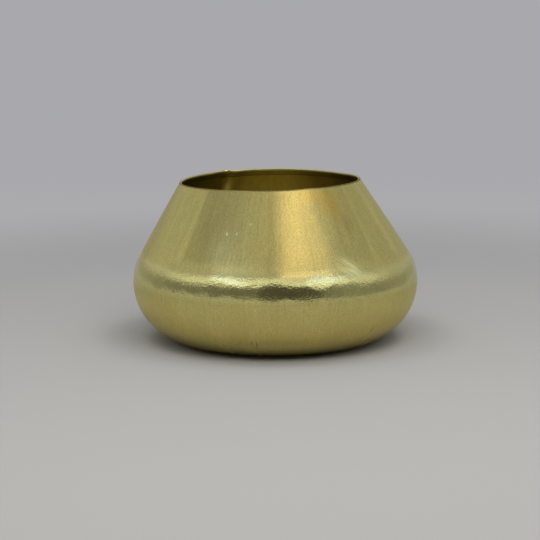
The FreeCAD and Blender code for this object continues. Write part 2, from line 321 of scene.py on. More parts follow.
def turned_mesh(name, section, stations, bearings, whole_turn, closed_section):
    """A shell swept round the axis through as_made. A station on the axis becomes one point.

    The stations are the same at every bearing, or there is a list of them for each bearing."""
    hand = bpy.context.scene.cachepot_handwork
    profiles = stations if isinstance(stations[0], list) else [stations] * len(bearings)
    row_finishes = [station.finish for station in profiles[0]]
    finishes = list(dict.fromkeys(row_finishes))
    mesh = bmesh.new()
    on_axis = {}
    columns = []
    for bearing, profile in zip(bearings, profiles):
        column = []
        for row, station in enumerate(profile):
            if station.place.x > MM / 10:
                column.append(mesh.verts.new(as_made(hand, section, station, bearing)))
                continue
            if row not in on_axis:
                on_axis[row] = mesh.verts.new((0, 0, station.place.y))
            column.append(on_axis[row])
        columns.append(column)
    rows = len(row_finishes)
    for index in range(len(columns) if whole_turn else len(columns) - 1):
        here, there = columns[index], columns[(index + 1) % len(columns)]
        for row in range(rows if closed_section else rows - 1):
            corners = [here[row], there[row], there[(row + 1) % rows], here[(row + 1) % rows]]
            face = mesh.faces.new(sorted(set(corners), key=corners.index))
            face.material_index = finishes.index(row_finishes[row])
            face.smooth = True
    if not whole_turn:
        for column in (columns[0], columns[-1]):
            face = mesh.faces.new(column)
            face.material_index = finishes.index(row_finishes[-1])
    bmesh.ops.recalc_face_normals(mesh, faces=mesh.faces)
    for edge in mesh.edges:
        edge.smooth = edge.calc_face_angle(0) < SHARP
    data = bpy.data.meshes.new(name)
    mesh.to_mesh(data)
    mesh.free()
    for finish in finishes:
        data.materials.append(finish_of(finish))
    return data


def place_piece(name, data, node):
    """Puts a finished mesh in the scene in place of its CAD node, riding on the pot's one body."""
    piece = bpy.data.objects.new(name, data)
    bpy.context.scene.collection.objects.link(piece)
    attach(piece, "root")
    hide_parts(node)


# Settings that many nodes share. A Mix node that mixes colours takes them at inputs 6 and 7 and
# gives output 2; one that mixes levels takes them at 2 and 3 and gives output 0.
SMOOTH = {"interpolation_type": "SMOOTHSTEP"}
TIMES = {"operation": "MULTIPLY"}
TIMES_PLUS = {"operation": "MULTIPLY_ADD"}
COLOURS = {"data_type": "RGBA"}
LEVELS = {"data_type": "FLOAT"}


def add(tree, kind, settings=None, inputs=None, output=0):
    """Adds a node with its settings, and gives one of its outputs, by place or by name.

    An input is a value, or another node's output to link."""
    node = tree.nodes.new("ShaderNode" + kind)
    for name, value in (settings or {}).items():
        setattr(node, name, value)
    for name, value in (inputs or {}).items():
        if isinstance(value, bpy.types.NodeSocket):
            tree.links.new(value, node.inputs[name])
        else:
            node.inputs[name].default_value = value
    return node.outputs[output] if node.outputs else None


def grey(level):
    return (level, level, level, 1)


def new_material(name):
    material = bpy.data.materials.new(name)
    material.use_nodes = True
    material.node_tree.nodes.clear()
    return material, material.node_tree


def from_front(tree, parts):
    """The angle round the pot's axis from straight ahead, right positive, in radians."""
    ahead = add(tree, "Math", TIMES, {0: parts["Y"], 1: -1})
    return add(tree, "Math", {"operation": "ARCTAN2"}, {0: parts["X"], 1: ahead})


def levels_round(tree, turned, stops):
    """A level that changes with an angle. Stops are degrees from the front and a level."""
    place = add(tree, "Math", TIMES_PLUS, {0: turned, 1: 1 / TURN, 2: 0.5})
    levels = add(tree, "ValToRGB", inputs={0: place})
    elements = levels.node.color_ramp.elements
    elements[0].position, elements[0].color = 0, grey(stops[0][1])
    elements[1].position, elements[1].color = 1, grey(stops[-1][1])
    for degrees, level in stops[1:-1]:
        elements.new((degrees + 180) / 360).color = grey(level)
    return levels


# Where the cone's wall is half way up, which sets how wide a mark is that runs along a meridian
WALL_RADIUS = 112 * MM

# What brass mirrors at a glancing angle keeps a little of its colour
EDGE_TINT = "#FAF8EA"

# A noise mostly stays between these levels
NOISE_LOW, NOISE_HIGH = 0.3, 0.7

# The marks of brushing and rolling: how far each is drawn out up the pot, its width, detail and
# roughness, and the levels between which it shades the metal
BRUSHING = {
    # Strokes are 0.3 mm wide on such a pot, drawn 0.9 mm wide because finer ones don't show
    "strokes": (7, 0.9 * MM, 3.0, 0.7, 0.92, 1.07),
    # Hairs of the brush that stand out leave single longer lines
    "lines": (12, 2.4 * MM, 4.0, 0.75, 0.95, 1.05),
    # Each pass of the brush leaves its own tone
    "passes": (7, 13 * MM, 2.0, 0.5, 0.96, 1.04),
    # Fine grain of the rolled sheet, drawn 1.4 mm wide for the same reason as the strokes
    "grain": (None, 1.4 * MM, 2.0, 0.6, 0.86, 1.12),
}

# How light the brushing left the cone, as degrees from the front, right positive, and a level
PASSES = (
    (-180, 1.0), (-81, 1.0), (-64, 0.99), (-60.5, 0.98), (-59.2, 1.07), (-57.5, 0.97), (-53, 0.95),
    (-49, 1.0), (-45.8, 0.95), (-44.4, 1.05), (-42.4, 1.05), (-40.8, 0.8), (-27.5, 0.74),
    (-16.5, 0.85), (-4.5, 0.87), (3.5, 0.96), (6.5, 1.03), (12.5, 1.05), (16.5, 0.94),
    (26.5, 0.94), (33.5, 0.88), (47.8, 0.9), (49.2, 1.0), (50.8, 1.0), (52.3, 0.93), (62, 0.99),
    (64, 1.0), (65.5, 1.09), (69, 1.09), (70.5, 0.99), (80, 1.0), (180, 1.0),
)

# How far a stroke can carry the end of a pass sideways, in radians
RAGGED = 0.05

# How wide the clouds of the alloy's tone and of tarnish are, and the dents of the hammer's face
ALLOY_CLOUD, TARNISH_CLOUD, DENT_WIDTH = 30 * MM, 22 * MM, 3.4 * MM

# How deep strokes, dents and the marks of rolling are
STROKE_DEPTH, DENT_DEPTH, ROLLED_DEPTH = 0.018 * MM, 0.12 * MM, 0.02 * MM

# How rough the passes of the brush are, from the finest to the coarsest, and the other faces
PASS_ROUGH = (0.23, 0.28)
BAND_ROUGH, SCUFF_ROUGH, TARNISH_ROUGH = 0.15, 0.45, 0.38

# The planished band round the shoulder, and how softly it ends
BAND_LOW, BAND_HIGH = 62 * MM, 87 * MM
BAND_EDGE = 3.5 * MM

# A painted warm sheen tints the brass towards copper from the band down to here
SHEEN_LOW = 25 * MM

# Marks of use, and patches of painted light, each as degrees from the front, height, half its width,
# half its length and lean
SPECKS = (
    (-23.4, 121 * MM, 1.6 * MM, 2.8 * MM, 0.0),
    (-18.5, 121.5 * MM, 1.4 * MM, 2.4 * MM, 0.1),
    (-12.2, 130.5 * MM, 1.2 * MM, 1.9 * MM, 0.0),
)
SCUFF = (33, 88 * MM, 12 * MM, 25 * MM, -0.9)
SCRATCHES = (
    (44, 26 * MM, 1.0 * MM, 9 * MM, 0.4),
    (-8, 19 * MM, 0.9 * MM, 5 * MM, 0.0),
    (-10, 21 * MM, 0.7 * MM, 4 * MM, 0.05),
)
# A copper patch on the cone at the front right: partly heat tint, partly a painted warm reflection
HEAT_TINT_AND_REFLECTION = (33.5, 145 * MM, 17 * MM, 28 * MM, 0.08)
# A painted highlight on the rim at the front right, in a pale warm gold
PAINTED_RIM_HIGHLIGHT = (27, 154 * MM, 30 * MM, 12 * MM, 0.0)
DULL_STAIN = (40, 127 * MM, 9 * MM, 18 * MM, 0.0)

# Inside: a painted highlight along the seam, a spot of copper beside the blob, and painted shade under
# the blob
SEAM_HIGHLIGHT = (-151, 139.5 * MM, 7 * MM, 13 * MM, 0.0)
COPPER_SPOT = (-152.5, 154.5 * MM, 5 * MM, 2.5 * MM, 0.0)
BLOB_SHADE = (-146.6, 153 * MM, 6 * MM, 3 * MM, 0.0)

# How deep a mark reaches through the sheet, which is more than the handwork moved the sheet
MARK_DEPTH = 20 * MM


def meridian_place(tree, stretch):
    """Coordinates that run round the pot at one size and stretch along its height.

    Marks that a noise draws in them follow the meridians, as the strokes of a wire brush do."""
    place = add(tree, "TexCoord", output="Object")
    flat = add(tree, "VectorMath", TIMES, {0: place, 1: (1, 1, 0)})
    way = add(tree, "VectorMath", {"operation": "NORMALIZE"}, {0: flat})
    upright = add(tree, "VectorMath", TIMES, {0: place, 1: (0, 0, 1 / stretch)})
    across = (WALL_RADIUS, WALL_RADIUS, 0)
    return add(tree, "VectorMath", TIMES_PLUS, {0: way, 1: across, 2: upright})


def between(tree, value, low, high, edge):
    """A mask that is 1 between two levels of a value and fades to 0 over an edge at each."""
    masks = []
    for first, last in ((low - edge, low + edge), (high + edge, high - edge)):
        ends = {"Value": value, "From Min": first, "From Max": last}
        masks.append(add(tree, "MapRange", SMOOTH, ends))
    return add(tree, "Math", TIMES, {0: masks[0], 1: masks[1]})


def laid_on_wall(tree, place, turned, height, across, along, lean):
    """Coordinates of one oval on the outer face, which reach 1 at its edge."""
    radius = section_now().outer_radius(height)
    turned = math.radians(turned)
    return add(
        tree,
        "Mapping",
        {"vector_type": "TEXTURE"},
        {
            "Vector": place,
            "Location": (radius * math.sin(turned), -radius * math.cos(turned), height),
            "Rotation": (0, lean, turned),
            "Scale": (across, MARK_DEPTH, along),
        },
    )


def mark(tree, place, *oval):
    """A mask for one soft-edged oval mark on the outer face."""
    local = laid_on_wall(tree, place, *oval)
    reach = add(tree, "VectorMath", {"operation": "LENGTH"}, {0: local}, "Value")
    ends = {"Value": reach, "From Min": 1.0, "From Max": 0.0}
    return add(tree, "MapRange", SMOOTH, ends)


def strongest(tree, masks):
    """The greater of some masks at each point."""
    top = masks[0]
    for mask in masks[1:]:
        top = add(tree, "Math", {"operation": "MAXIMUM"}, {0: top, 1: mask})
    return top


def tinted(tree, base, layers):
    """A colour with others laid over it in turn, each a colour, its mask and its strength."""
    for tone, mask, strength in layers:
        part = add(tree, "Math", TIMES, {0: mask, 1: strength})
        base = add(tree, "Mix", COLOURS, {0: part, 6: base, 7: tone}, 2)
    return base


def shading(tree, marks, dark, pale):
    """The levels, from dark to pale, at which the noise of some marks shades the metal."""
    ends = {"From Min": NOISE_LOW, "From Max": NOISE_HIGH, "To Min": dark, "To Max": pale}
    return add(tree, "MapRange", inputs={"Value": marks, **ends})


def brushing(tree, place):
    """The noise of each kind of brush mark, and the light and dark that they make together."""
    noises, light = {}, 1.0
    for name, (stretch, width, detail, roughness, dark, pale) in BRUSHING.items():
        where = meridian_place(tree, stretch) if stretch else place
        drawn = {"Vector": where, "Scale": 1 / width, "Detail": detail, "Roughness": roughness}
        noises[name] = add(tree, "TexNoise", inputs=drawn)
        level = shading(tree, noises[name], dark, pale)
        light = add(tree, "Math", TIMES, {0: light, 1: level})
    return noises, light


def brushed_passes(tree, parts, lines):
    """How light each pass of the brush left the cone. The bowl below it has no such passes."""
    # Noise on the angle keeps a pass from ending along one straight meridian
    ragged = add(tree, "Math", TIMES_PLUS, {0: lines, 1: RAGGED, 2: from_front(tree, parts)})
    low, high = CONE_STARTS
    ends = {"Value": parts["Z"], "From Min": low, "From Max": high}
    on_cone = add(tree, "MapRange", SMOOTH, ends)
    levels = levels_round(tree, ragged, PASSES)
    return add(tree, "Mix", LEVELS, {0: on_cone, 2: 1.0, 3: levels})


def scuffed(tree, place):
    """The mask of the scuff, which is many scratches side by side: fine across it, long down it."""
    local = laid_on_wall(tree, place, *SCUFF)
    combed = add(tree, "VectorMath", TIMES, {0: local, 1: (5, 0, 0.7)})
    hairs = add(tree, "TexNoise", inputs={"Vector": combed, "Scale": 1.0, "Detail": 3.0})
    ends = {"Value": hairs, "From Min": 0.3, "From Max": 0.6}
    cut = add(tree, "MapRange", SMOOTH, ends)
    return add(tree, "Math", TIMES, {0: mark(tree, place, *SCUFF), 1: cut})


def stiff_hairs(tree, unstruck):
    """The mask of single bright lines that a few stiffer hairs of the brush cut off the band."""
    drawn = {"Vector": meridian_place(tree, 24), "Scale": 1 / (1.3 * MM), "Detail": 1.0}
    hairs = add(tree, "TexNoise", inputs=drawn)
    ends = {"Value": hairs, "From Min": 0.6, "From Max": 0.76}
    cut = add(tree, "MapRange", SMOOTH, ends)
    return add(tree, "Math", TIMES, {0: cut, 1: unstruck})


def heat_tint_and_reflection(tree, place, lines):
    """The mask of the copper patch, partly heat tint and partly a painted warm reflection, which the
    strokes of the brush break into blotches.
    """
    ends = {"Value": lines, "From Min": 0.35, "From Max": 0.65, "To Min": 0.55}
    blotchy = add(tree, "MapRange", SMOOTH, ends)
    return add(tree, "Math", TIMES, {0: mark(tree, place, *HEAT_TINT_AND_REFLECTION), 1: blotchy})


def wire_brushed(name, cool, warm, spread):
    """Brass sheet, wire-brushed up and down: hairlines, and highlights that spread sideways.

    The band round the shoulder was planished after, so it mirrors the room more sharply, and its
    highlights spread less."""
    finish = bpy.context.scene.cachepot_finish
    material, tree = new_material(name)
    place = add(tree, "TexCoord", output="Object")
    parts = add(tree, "SeparateXYZ", inputs={0: place}).node.outputs
    band = between(tree, parts["Z"], BAND_LOW, BAND_HIGH, BAND_EDGE)
    unstruck = add(tree, "Math", {"operation": "SUBTRACT"}, {0: 1.0, 1: band})
    noises, light = brushing(tree, place)
    drawn = {"Vector": place, "Scale": 1 / ALLOY_CLOUD, "Detail": 3.0, "Roughness": 0.55}
    clouds = add(tree, "TexNoise", inputs=drawn)
    tone = add(tree, "Mix", COLOURS, {0: clouds, 6: cool, 7: warm}, 2)
    zone = brushed_passes(tree, parts, noises["lines"])
    level = add(tree, "Math", TIMES, {0: light, 1: zone})
    brushed = add(tree, "VectorMath", {"operation": "SCALE"}, {0: tone, "Scale": level})

    # A painted warm sheen: the brass turns towards copper from the band down
    ends = {"Value": parts["Z"], "From Min": BAND_LOW, "From Max": SHEEN_LOW}
    toned = add(tree, "MapRange", SMOOTH, ends)
    scuff = scuffed(tree, place)
    specks = strongest(tree, [mark(tree, place, *speck) for speck in SPECKS])
    scratches = strongest(tree, [mark(tree, place, *scratch) for scratch in SCRATCHES])
    layers = [
        # Partly heat tint, partly a painted warm reflection
        (finish.copper, heat_tint_and_reflection(tree, place, noises["lines"]), 0.85),
        # Painted highlight on the rim at the front right
        (finish.painted_sheen, mark(tree, place, *PAINTED_RIM_HIGHLIGHT), 0.5),
        (finish.grime, mark(tree, place, *DULL_STAIN), 0.28),
        # Painted warm sheen low on the bowl
        (finish.copper, toned, 0.2),
        (finish.fresh, specks, 0.85),
        (finish.worn, scuff, 0.9),
        (finish.worn, stiff_hairs(tree, unstruck), 0.22),
        (finish.stain_and_shade, scratches, 0.8),
        # The hammer left the band cleaner than the brush left the rest
        (finish.worn, band, 0.34),
    ]
    shown = tinted(tree, brushed, layers)

    rough = shading(tree, noises["passes"], *PASS_ROUGH)
    rough = add(tree, "Mix", LEVELS, {0: band, 2: rough, 3: BAND_ROUGH})
    rough = add(tree, "Mix", LEVELS, {0: scuff, 2: rough, 3: SCUFF_ROUGH})
    # The hammer's face leaves small dents of its own between the large marks, which are half as
    # deep again as the grain
    drawn = {"Vector": place, "Scale": 1 / DENT_WIDTH, "Detail": 2.0, "Roughness": 0.55}
    dents = add(tree, "TexNoise", inputs=drawn)
    struck = add(tree, "Math", TIMES_PLUS, {0: dents, 1: 1.5, 2: noises["grain"]})
    dented = add(tree, "Math", TIMES, {0: struck, 1: band})
    lined = {"Strength": unstruck, "Distance": STROKE_DEPTH, "Height": noises["strokes"]}
    relief = add(tree, "Bump", inputs=lined)
    hammered = {"Strength": 1.0, "Distance": DENT_DEPTH, "Height": dented, "Normal": relief}
    relief = add(tree, "Bump", inputs=hammered)
    round_axis = add(tree, "Tangent", {"direction_type": "RADIAL", "axis": "Z"})
    shader = add(
        tree,
        "BsdfPrincipled",
        inputs={
            "Base Color": shown,
            "Metallic": 1.0,
            "Roughness": rough,
            "Anisotropic": spread,
            "Specular Tint": colour(EDGE_TINT),
            "Normal": relief,
            "Tangent": round_axis,
        },
    )
    add(tree, "OutputMaterial", inputs={"Surface": shader})
    return material


def tarnished(name, light, dark, ringed=False, brazed=False, bare=1.0):
    """Brass that was never brushed: smooth and browned, with the marks of rolling or spinning.

    Brazed metal has a painted highlight along the seam, a copper spot beside the blob and painted shade
    under the blob. Where the skin isn't all bare, it scatters part of the light."""
    finish = bpy.context.scene.cachepot_finish
    material, tree = new_material(name)
    place = add(tree, "TexCoord", output="Object")
    drawn = {"Vector": place, "Scale": 1 / TARNISH_CLOUD, "Detail": 4.0, "Roughness": 0.6}
    clouds = add(tree, "TexNoise", inputs=drawn)
    tone = add(tree, "Mix", COLOURS, {0: clouds, 6: dark, 7: light}, 2)
    if ringed:
        # Rings that the spinning tool left are 1 mm apart, drawn 2 mm apart because finer ones
        # don't show
        parts = add(tree, "SeparateXYZ", inputs={0: place}).node.outputs
        flat = add(tree, "VectorMath", TIMES, {0: place, 1: (1, 1, 0)})
        radius = add(tree, "VectorMath", {"operation": "LENGTH"}, {0: flat}, "Value")
        marks = add(tree, "CombineXYZ", inputs={"X": radius, "Z": parts["Z"]})
        width = 2 * MM
    else:
        # The rolls drew their lines out up the strip, 3 mm apart
        marks, width = meridian_place(tree, 3), 3 * MM
    height = add(tree, "TexNoise", inputs={"Vector": marks, "Scale": 1 / width, "Detail": 2.0})
    level = shading(tree, height, 0.93, 1.07)
    shown = add(tree, "VectorMath", {"operation": "SCALE"}, {0: tone, "Scale": level})
    if brazed:
        # A painted highlight along the seam inside
        seam_highlight = mark(tree, place, *SEAM_HIGHLIGHT)
        layers = [
            (finish.painted_sheen, seam_highlight, 1.0),
            (finish.copper, mark(tree, place, *COPPER_SPOT), 0.9),
            # Painted shade in the notch under the blob
            (finish.stain_and_shade, mark(tree, place, *BLOB_SHADE), 1.0),
        ]
        shown = tinted(tree, shown, layers)
        # The painted highlight is made less metallic too, so it scatters the light that falls in at the
        # mouth
        highlight_scatter = {"Value": seam_highlight, "To Min": 1.0, "To Max": 0.0}
        bare = add(tree, "MapRange", inputs=highlight_scatter)
    rolled = {"Strength": 1.0, "Distance": ROLLED_DEPTH, "Height": height}
    relief = add(tree, "Bump", inputs=rolled)
    shader = add(
        tree,
        "BsdfPrincipled",
        inputs={
            "Base Color": shown,
            "Metallic": bare,
            "Roughness": TARNISH_ROUGH,
            "Specular Tint": colour(EDGE_TINT),
            "Normal": relief,
        },
    )
    add(tree, "OutputMaterial", inputs={"Surface": shader})
    return material


# Each finish of the metal: the function that makes it, its two colours and what sets it apart
FINISHES = {
    # Fine upright lines, which pull every highlight out sideways into a soft upright stripe
    "brass_sheet_wire_brushed": (wire_brushed, "brushed", "brushed_warm", {"spread": 0.6}),
    # Smooth dented metal, which mirrors the lamps and the dark below them in broken bright edges
    "brass_sheet_planished": (wire_brushed, "brushed", "brushed_warm", {"spread": 0.1}),
    # Filler filed flush and brushed over: a thin line, a little paler than the sheet
    "brass_filler_ground": (wire_brushed, "filler", "brushed", {"spread": 0.1}),
    # Filler as it froze: dull brown gold, with the painted highlight of the seam inside
    "brass_filler_as_laid": (tarnished, "filler_laid", "tarnish", {"brazed": True}),
    # The strip's inner side as the rolls left it: smooth and olive, it mirrors the mouth dimly; beside
    # the seam it has a painted highlight, and painted shade under the blob
    "brass_sheet_as_rolled": (tarnished, "tarnish", "tarnish_dark", {"brazed": True}),
    # The bowl's inner side: the same, in the rings of the spinning tool
    "brass_sheet_spun": (tarnished, "tarnish", "tarnish_dark", {"ringed": True}),
    # The underside, scuffed by shelves: bright and dull patches on fine rings
    "brass_base_scuffed_and_spun": (tarnished, "brushed", "grime", {"ringed": True}),
    # Folding crazed the skin along the edge, so it scatters light: a pale satin lip
    "brass_sheet_folded_edge": (tarnished, "edge", "tarnish", {"bare": 0.6}),
    # The dirt of hands on the fold's outer side: a thin dull olive line under the lip
    "brass_sheet_handled_edge": (tarnished, "grime", "grime", {}),
    # The hem's inner face, browned by the torch: a darker satin ring inside the mouth
    "brass_sheet_browned_hem": (tarnished, "grime", "tarnish_dark", {}),
    # Painted shade: a dark brown line just under the hem's edge, where the gap under the fold lies in
    # shade
    "brass_sheet_shade_under_hem": (tarnished, "stain_and_shade", "stain_and_shade", {}),
}


def finish_of(name):
    """The material of a finish, made the first time that a piece asks for it."""
    made = bpy.data.materials.get(name)
    if made:
        return made
    make, first, second, options = FINISHES[name]
    finish = bpy.context.scene.cachepot_finish
    return make(name, getattr(finish, first), getattr(finish, second), **options)


def section_now():
    return Section(bpy.context.scene.cachepot_sizes)


def bead(section, path, bearing, half_width, rise, finish):
    """A bead of filler laid along a path up the wall: its bearings, and its stations at each.

    The path is places on the metal, each with the way that points off it."""
    columns_a_side = 3
    bearings, columns = [], []
    for index in range(2 * columns_a_side + 1):
        across = index / columns_a_side - 1
        bearings.append(bearing + across * half_width / WALL_RADIUS)
        top, under = [], []
        for number, (place, off) in enumerate(path):
            # The filler was laid in drops, so the bead swells and shrinks along its length
            drop = 0.75 + 0.25 * math.cos(number * TURN / 3)
            lifted = place + off * rise * drop * (1 - across**2)
            sunk = place - off * rise / 2
            for spot, side in ((lifted, top), (sunk, under)):
                depth = (section.touch - spot).dot(section.out)
                side.append(Station(spot, section.out, depth, finish))
        columns.append(top + under[::-1])
    return bearings, columns


# How many meridians a whole turn of a shell has
MERIDIANS = 480


class CACHEPOT_OT_lower_bowl(bpy.types.Operator):
    """Builds the pressed bowl: flat base, quarter round, belly and planished shoulder"""

    bl_idname = "cachepot.lower_bowl"
    bl_label = "Lower bowl"

    def execute(self, context):
        section = section_now()
        size = section.size
        outside, inside = "brass_sheet_wire_brushed", "brass_sheet_spun"
        base, planished = "brass_base_scuffed_and_spun", "brass_sheet_planished"
        low, high = section.low_centre, section.shoulder_centre
        bend, edge = size.shoulder_radius, section.edge_angle
        down = -TURN / 4
        flat_pitch, fine_pitch, band_pitch, inner_pitch = 8 * MM, 2 * MM, 1.4 * MM, 3 * MM
        stations = along_base(0, size.base_radius, 0, base, flat_pitch)[:-1]
        stations += along_arc(low, section.curve, down, 0, 0, outside, fine_pitch)[:-1]
        stations += along_arc(high, bend, 0, edge, 0, planished, band_pitch)
        stations += along_arc(high, bend, edge, 0, size.sheet, inside, fine_pitch)[:-1]
        stations += along_arc(low, section.curve, 0, down, size.sheet, inside, inner_pitch)[:-1]
        stations += along_base(size.base_radius, 0, size.sheet, inside, flat_pitch)
        bearings = [TURN * index / MERIDIANS for index in range(MERIDIANS)]
        data = turned_mesh("lower_bowl_sheet", section, stations, bearings, True, False)
        place_piece("bowl", data, "lower_bowl")
        return {"FINISHED"}


class CACHEPOT_OT_upper_cone(bpy.types.Operator):
    """Builds the rolled cone with its hem folded inward at the rim"""

    bl_idname = "cachepot.upper_cone"
    bl_label = "Upper cone"

    def execute(self, context):
        section = section_now()
        size = section.size
        outside, inside = "brass_sheet_wire_brushed", "brass_sheet_as_rolled"
        toned, folded = "brass_sheet_handled_edge", "brass_sheet_folded_edge"
        planished, under_hem = "brass_sheet_planished", "brass_sheet_shade_under_hem"
        browned = "brass_sheet_browned_hem"
        half_gap = size.joint_gap / 2
        half_space = size.hem_gap / 2
        width = 2 * section.bend
        # Places up the wall, from the shoulder to the fold
        collar = 5 * MM
        top = section.wall_length
        hem = top - size.hem_depth
        # Painted shade under the hem's edge reaches this far down the wall
        hem_shade_end = hem - 1.6 * MM
        dirty = top - 0.5 * MM
        rubbed = top - 1 * MM
        pitch, hem_pitch, fold_pitch = 1.7 * MM, 1 * MM, MM / 2
        stations = along_wall(section, 0, half_gap, collar, planished, pitch)[:-1]
        stations += along_wall(section, 0, collar, dirty, outside, pitch)[:-1]
        stations += along_wall(section, 0, dirty, top, toned, fold_pitch)[:-1]
        stations += round_bend(section, section.bend, 0, TURN / 5, toned, 3)[:-1]
        stations += round_bend(section, section.bend, TURN / 5, TURN / 2, folded, 5)[:-1]
        stations += along_wall(section, width, top, rubbed, folded, fold_pitch)[:-1]
        stations += along_wall(section, width, rubbed, hem, browned, hem_pitch)
        stations += along_wall(section, width - size.sheet, hem, top, inside, hem_pitch)[:-1]
        stations += round_bend(section, half_space, TURN / 2, 0, inside, 4)[:-1]
        stations += along_wall(section, size.sheet, top, hem, inside, pitch)[:-1]
        stations += along_wall(section, size.sheet, hem, hem_shade_end, under_hem, pitch)[:-1]
        stations += along_wall(section, size.sheet, hem_shade_end, half_gap, inside, pitch)
        first = size.seam_bearing + section.gap_turn / 2
        sweep = TURN - section.gap_turn
        bearings = [first + sweep * index / MERIDIANS for index in range(MERIDIANS + 1)]
        data = turned_mesh("upper_cone_sheet", section, stations, bearings, False, True)
        place_piece("cone", data, "upper_cone")
        return {"FINISHED"}


class CACHEPOT_OT_filler(bpy.types.Operator):
    """Lays the filler: the bead round the shoulder, the bead up the seam and the blob on the rim"""

    bl_idname = "cachepot.filler"
    bl_label = "Filler"

    ground, laid = "brass_filler_ground", "brass_filler_as_laid"

    def execute(self, context):
        section = section_now()
        self.lay_girth(section)
        self.lay_seam(section)
        self.lay_blob(section)
        return {"FINISHED"}

    def lay_girth(self, section):
        """The filler between the bowl's edge and the cone's, with its bead inside."""
        size = section.size
        half_gap, half_bead = size.joint_gap / 2, size.bead_width / 2
        edge = direction(section.edge_angle)
        rim = section.shoulder_centre + edge * size.shoulder_radius
        stations = [Station(rim, edge, 0, self.ground)]
        for depth in (0, size.sheet):
            stations += along_wall(section, depth, half_gap, half_gap, self.laid, MM)[:1]
        for across in (1, 0.6, 0.2, -0.2, -0.6, -1):
            raised = size.sheet + size.bead_rise * (1 - across**2)
            stations += along_wall(section, raised, across * half_bead, 0, self.laid, TURN)[:1]
        inner_edge = section.shoulder_centre + edge * (size.shoulder_radius - size.sheet)
        stations.append(Station(inner_edge, edge, size.sheet, self.laid))
        bearings = [TURN * index / MERIDIANS for index in range(MERIDIANS)]
        self.lay("girth_bead", "girth_weld", section, stations, bearings, True)

    def lay_seam(self, section):
        """The filler between the cone's two ends, and the bead that ran out inside."""
        size = section.size
        foot, hem = size.joint_gap / 2, section.wall_length - size.hem_depth
        pitch, drop_pitch = 2 * MM, 1.4 * MM
        stations = along_wall(section, 0, foot, hem, self.ground, pitch)
        stations += along_wall(section, size.sheet, hem, foot, self.laid, pitch)
        self.lay("seam_filler", "seam_weld", section, stations, self.seam_bearings(section))
        inner = along_wall(section, size.sheet, size.bead_width / 2, hem, self.laid, drop_pitch)
        path = [(station.place, -section.out) for station in inner]
        bearings, stations = bead(
            section, path, size.seam_bearing, size.seam_width / 2, size.bead_rise / 2, self.laid
        )
        self.lay("seam_bead", "seam_weld", section, stations, bearings)

    def lay_blob(self, section):
        """The braze that bridges the two ends of the hem, and the drop that stands over it."""
        size = section.size
        top, width = section.wall_length, 2 * section.bend
        hem = top - size.hem_depth
        stations = along_wall(section, 0, hem, top, self.ground, MM)[:-1]
        stations += round_bend(section, section.bend, 0, TURN / 2, self.ground, 8)[:-1]
        stations += along_wall(section, width, top, hem, self.laid, MM)
        self.lay("rim_braze", "rim_blob", section, stations, self.seam_bearings(section))
        path = []
        places = 8
        for index in range(places + 1):
            off = direction(section.slope + TURN / 2 * index / places)
            path.append((section.bend_centre + off * section.bend, off))
        # The drop ran a little way down the hem
        run, drop_pitch = 1.5 * MM, 0.8 * MM
        inner = along_wall(section, width, top, top - run, self.laid, drop_pitch)[1:]
        path += [(station.place, -section.out) for station in inner]
        bearings, stations = bead(
            section, path, size.seam_bearing, size.blob_width / 2, size.blob_rise, self.ground
        )
        self.lay("rim_drop", "rim_blob", section, stations, bearings)

    def seam_bearings(self, section):
        return [section.size.seam_bearing + section.gap_turn / 2 * part for part in (-1, 0, 1)]

    def lay(self, name, node, section, stations, bearings, whole_turn=False):
        """Makes one piece of filler, whose section is closed."""
        data = turned_mesh(name, section, stations, bearings, whole_turn, True)
        place_piece(name, data, node)


# What the camera and the lamps turn about: the pot's middle
POT_MIDDLE = 84 * MM

# The lamps: bearing and elevation in degrees, width and height in m, power in W, and colour
LAMPS = {
    "softbox_left": (-133, 37, 0.86, 0.34, 0.95, "#B4C8FF"),
    "softbox_right": (-42, 37, 0.86, 0.34, 0.9, "#B4C8FF"),
    "warm_lamp": (-56, 52, 1.0, 0.3, 0.8, "#FFE0C2"),
    "top_front": (-90, 77, 1.8, 0.4, 2.2, "#FFFFFF"),
    "side_left": (-165, 66, 0.9, 0.6, 3.3, "#FFFFFF"),
    "side_right": (-15, 66, 0.9, 0.6, 4.2, "#FFFFFF"),
    "paper_fill": (-84, 46, 1.4, 0.7, 9.8, "#FFFFFF"),
}
LAMP_DISTANCE = 1.7


def soft_lamp(name, bearing, elevation, width, height, power, code):
    """A soft lamp that faces the pot."""
    lamp = bpy.data.lights.new(name, "AREA")
    lamp.shape = "ELLIPSE" if name.startswith("softbox") else "RECTANGLE"
    lamp.size, lamp.size_y = width, height
    lamp.energy = power
    lamp.color = colour(code)[:3]
    holder = bpy.data.objects.new(name, lamp)
    bpy.context.scene.collection.objects.link(holder)
    across, up = math.radians(bearing), math.radians(elevation)
    away = Vector((math.cos(across) * math.cos(up), math.sin(across) * math.cos(up), math.sin(up)))
    holder.location = Vector((0, 0, POT_MIDDLE)) + away * LAMP_DISTANCE
    holder.rotation_euler = away.to_track_quat("Z", "Y").to_euler()
    holder.visible_camera = False
    # The fill stands where the metal mirrors the dark, so it lights the paper only
    holder.visible_glossy = name != "paper_fill"


def above(tree, lift, low, high, under, over):
    """One layer of the room over another, with the change between two heights in degrees."""
    ends = {"Value": lift, "From Min": math.radians(low), "From Max": math.radians(high)}
    part = add(tree, "MapRange", SMOOTH, ends)
    return add(tree, "Mix", COLOURS, {0: part, 6: under, 7: over}, 2)


